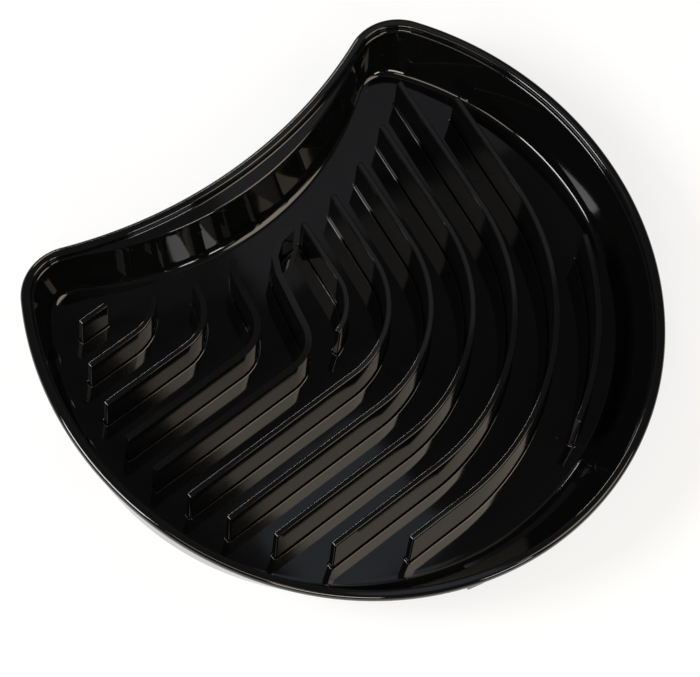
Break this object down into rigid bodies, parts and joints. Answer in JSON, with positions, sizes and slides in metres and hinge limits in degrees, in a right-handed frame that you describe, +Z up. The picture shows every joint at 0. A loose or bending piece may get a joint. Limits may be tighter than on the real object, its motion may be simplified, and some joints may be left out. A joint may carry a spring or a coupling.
{
  "type": "ribbed drip tray",
  "caption": "Shallow crescent-shaped catch tray with a beaded rim, a back edge that curves inwards, a sloping floor and tall parallel ribs that sweep round one centre.",
  "frame": {"origin": "middle of the tray's bounding box, on the surface that it stands on", "axes": "+Z up, -Y towards the bowed front edge, +Y towards the back edge that curves inwards"},
  "size_m": [0.186, 0.1642, 0.03],
  "materials": {
    "tray_plastic": "high-gloss moulded black plastic"
  },
  "bodies": {
    "root": {"floor_pan": "tray_plastic", "front_wall": "tray_plastic", "back_wall": "tray_plastic", "left_corner": "tray_plastic", "right_corner": "tray_plastic", "front_rim": "tray_plastic", "back_rim": "tray_plastic", "back_ledge": "tray_plastic", "front_recess": "tray_plastic", "rib_01": "tray_plastic", "rib_02": "tray_plastic", "rib_03": "tray_plastic", "rib_04": "tray_plastic", "rib_05": "tray_plastic", "rib_06": "tray_plastic", "rib_07": "tray_plastic", "rib_08": "tray_plastic", "rib_09": "tray_plastic", "rib_10": "tray_plastic", "rib_11": "tray_plastic", "rib_12": "tray_plastic"}
  },
  "joints": []
}
